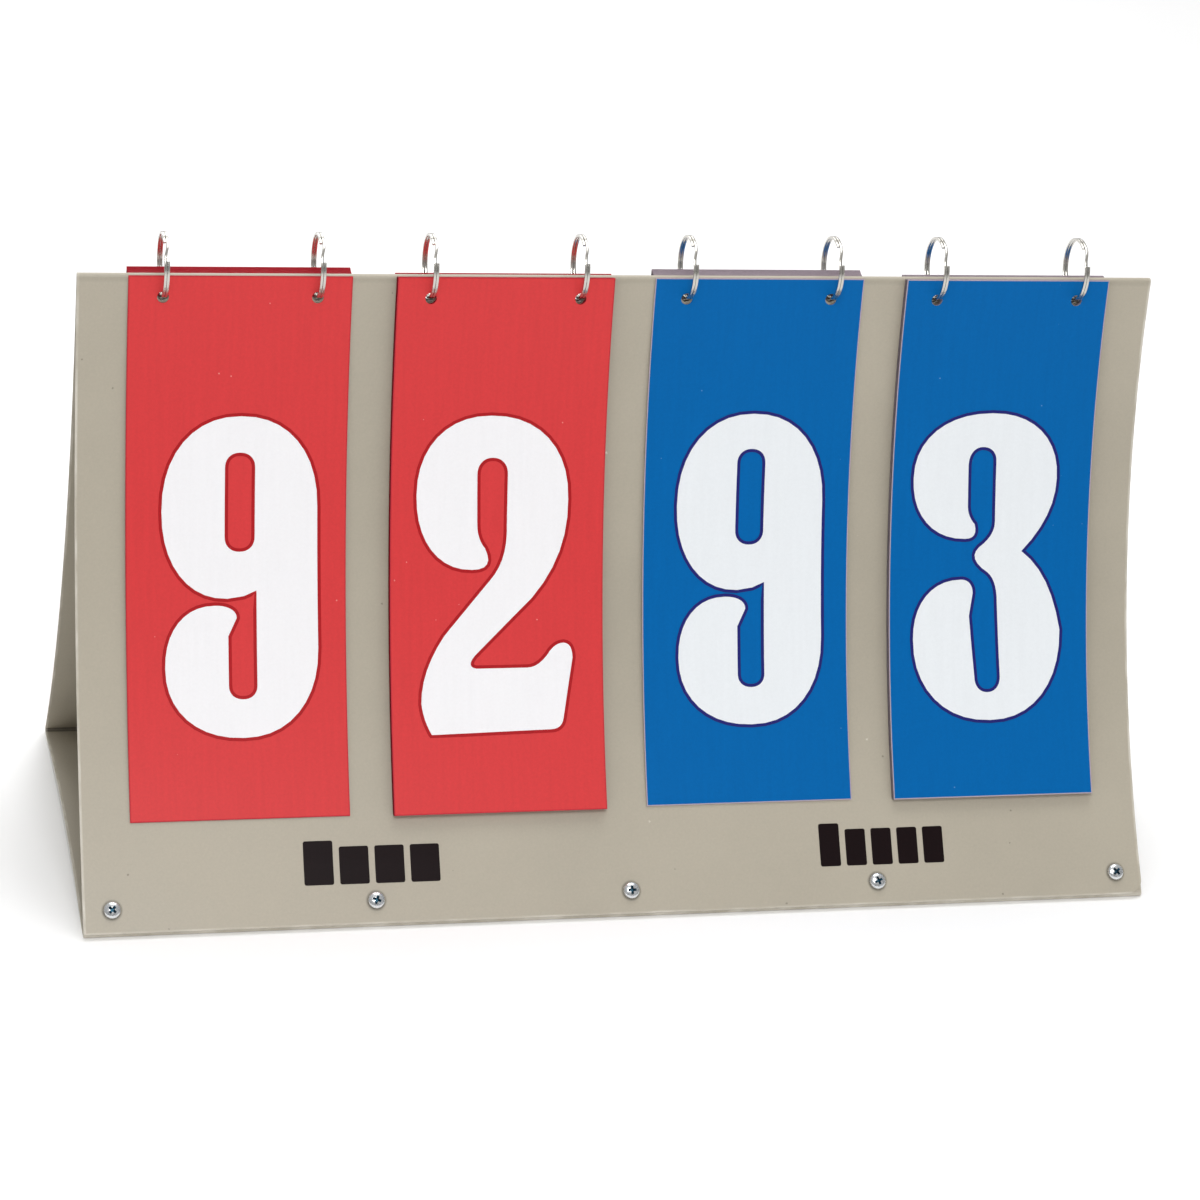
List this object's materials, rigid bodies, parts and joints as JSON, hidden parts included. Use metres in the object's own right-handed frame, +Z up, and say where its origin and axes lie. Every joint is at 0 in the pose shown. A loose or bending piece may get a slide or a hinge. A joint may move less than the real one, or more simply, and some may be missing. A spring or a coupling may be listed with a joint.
{
  "type": "tabletop flip scoreboard",
  "caption": "Free-standing tent of folded grey plastic sheet with four sets of numbered cards that hang on split rings through the ridge and flip over it to show a two-team score.",
  "frame": {"origin": "on the table, under the middle of the tent", "axes": "+X along the ridge to the viewer's right, -Y is the front that shows the score, +Z up"},
  "size_m": [0.61, 0.2499, 0.3586],
  "materials": {
    "sheet_plastic": "fine satin grain",
    "card_red": "satin printed sheet, white numeral",
    "card_blue": "satin printed sheet, white numeral",
    "ring_nickel": "bright nickel plate",
    "screw_zinc": "zinc plate"
  },
  "bodies": {
    "stand": {"front_panel": "sheet_plastic", "rear_panel": "sheet_plastic", "base_panel": "sheet_plastic", "seam_flange": "sheet_plastic", "seam_screws": "screw_zinc", "seam_washers": "screw_zinc", "seam_nuts": "screw_zinc", "home_tens_card_0": "card_red", "home_tens_card_1": "card_red", "home_tens_card_2": "card_red", "home_tens_card_3": "card_red", "home_tens_card_4": "card_red", "home_tens_card_5": "card_red", "home_tens_card_6": "card_red", "home_tens_card_7": "card_red", "home_units_card_0": "card_red", "home_units_card_3": "card_red", "home_units_card_4": "card_red", "home_units_card_5": "card_red", "home_units_card_6": "card_red", "home_units_card_7": "card_red", "home_units_card_8": "card_red", "home_units_card_9": "card_red", "guest_tens_card_0": "card_blue", "guest_tens_card_1": "card_blue", "guest_tens_card_2": "card_blue", "guest_tens_card_3": "card_blue", "guest_tens_card_4": "card_blue", "guest_tens_card_5": "card_blue", "guest_tens_card_6": "card_blue", "guest_tens_card_7": "card_blue", "guest_units_card_0": "card_blue", "guest_units_card_1": "card_blue", "guest_units_card_4": "card_blue", "guest_units_card_5": "card_blue", "guest_units_card_6": "card_blue", "guest_units_card_7": "card_blue", "guest_units_card_8": "card_blue", "guest_units_card_9": "card_blue"},
    "home_tens_ring_left": {"home_tens_ring_left": "ring_nickel"},
    "home_tens_ring_right": {"home_tens_ring_right": "ring_nickel"},
    "home_tens_card_8": {"home_tens_card_8": "card_red"},
    "home_tens_card_9": {"home_tens_card_9": "card_red"},
    "home_units_ring_left": {"home_units_ring_left": "ring_nickel"},
    "home_units_ring_right": {"home_units_ring_right": "ring_nickel"},
    "home_units_card_1": {"home_units_card_1": "card_red"},
    "home_units_card_2": {"home_units_card_2": "card_red"},
    "guest_tens_ring_left": {"guest_tens_ring_left": "ring_nickel"},
    "guest_tens_ring_right": {"guest_tens_ring_right": "ring_nickel"},
    "guest_tens_card_8": {"guest_tens_card_8": "card_blue"},
    "guest_tens_card_9": {"guest_tens_card_9": "card_blue"},
    "guest_units_ring_left": {"guest_units_ring_left": "ring_nickel"},
    "guest_units_ring_right": {"guest_units_ring_right": "ring_nickel"},
    "guest_units_card_2": {"guest_units_card_2": "card_blue"},
    "guest_units_card_3": {"guest_units_card_3": "card_blue"}
  },
  "joints": [
    {"name": "home_tens_ring_left_lean", "type": "hinge", "parent": "stand", "child": "home_tens_ring_left", "pos_m": [-0.2593, 0, 0.3248], "axis": [0, 1, 0], "range_deg": [-60, 0]},
    {"name": "home_tens_ring_right_lean", "type": "hinge", "parent": "stand", "child": "home_tens_ring_right", "pos_m": [-0.1757, 0, 0.3248], "axis": [0, 1, 0], "range_deg": [-60, 0]},
    {"name": "home_tens_card_8_flip", "type": "hinge", "parent": "stand", "child": "home_tens_card_8", "pos_m": [-0.2175, 0, 0.3409], "axis": [1, 0, 0], "range_deg": [0, 266]},
    {"name": "home_tens_card_9_flip", "type": "hinge", "parent": "stand", "child": "home_tens_card_9", "pos_m": [-0.2175, 0, 0.3409], "axis": [-1, 0, 0], "range_deg": [0, 266]},
    {"name": "home_units_ring_left_lean", "type": "hinge", "parent": "stand", "child": "home_units_ring_left", "pos_m": [-0.1143, 0, 0.3248], "axis": [0, 1, 0], "range_deg": [-60, 0]},
    {"name": "home_units_ring_right_lean", "type": "hinge", "parent": "stand", "child": "home_units_ring_right", "pos_m": [-0.0307, 0, 0.3248], "axis": [0, 1, 0], "range_deg": [-60, 0]},
    {"name": "home_units_card_1_flip", "type": "hinge", "parent": "stand", "child": "home_units_card_1", "pos_m": [-0.0725, 0, 0.3409], "axis": [1, 0, 0], "range_deg": [0, 266]},
    {"name": "home_units_card_2_flip", "type": "hinge", "parent": "stand", "child": "home_units_card_2", "pos_m": [-0.0725, 0, 0.3409], "axis": [-1, 0, 0], "range_deg": [0, 266]},
    {"name": "guest_tens_ring_left_lean", "type": "hinge", "parent": "stand", "child": "guest_tens_ring_left", "pos_m": [0.0307, 0, 0.3248], "axis": [0, 1, 0], "range_deg": [-60, 0]},
    {"name": "guest_tens_ring_right_lean", "type": "hinge", "parent": "stand", "child": "guest_tens_ring_right", "pos_m": [0.1143, 0, 0.3248], "axis": [0, 1, 0], "range_deg": [-60, 0]},
    {"name": "guest_tens_card_8_flip", "type": "hinge", "parent": "stand", "child": "guest_tens_card_8", "pos_m": [0.0725, 0, 0.3409], "axis": [1, 0, 0], "range_deg": [0, 266]},
    {"name": "guest_tens_card_9_flip", "type": "hinge", "parent": "stand", "child": "guest_tens_card_9", "pos_m": [0.0725, 0, 0.3409], "axis": [-1, 0, 0], "range_deg": [0, 266]},
    {"name": "guest_units_ring_left_lean", "type": "hinge", "parent": "stand", "child": "guest_units_ring_left", "pos_m": [0.1757, 0, 0.3248], "axis": [0, 1, 0], "range_deg": [-60, 0]},
    {"name": "guest_units_ring_right_lean", "type": "hinge", "parent": "stand", "child": "guest_units_ring_right", "pos_m": [0.2593, 0, 0.3248], "axis": [0, 1, 0], "range_deg": [-60, 0]},
    {"name": "guest_units_card_2_flip", "type": "hinge", "parent": "stand", "child": "guest_units_card_2", "pos_m": [0.2175, 0, 0.3409], "axis": [1, 0, 0], "range_deg": [0, 266]},
    {"name": "guest_units_card_3_flip", "type": "hinge", "parent": "stand", "child": "guest_units_card_3", "pos_m": [0.2175, 0, 0.3409], "axis": [-1, 0, 0], "range_deg": [0, 266]}
  ]
}
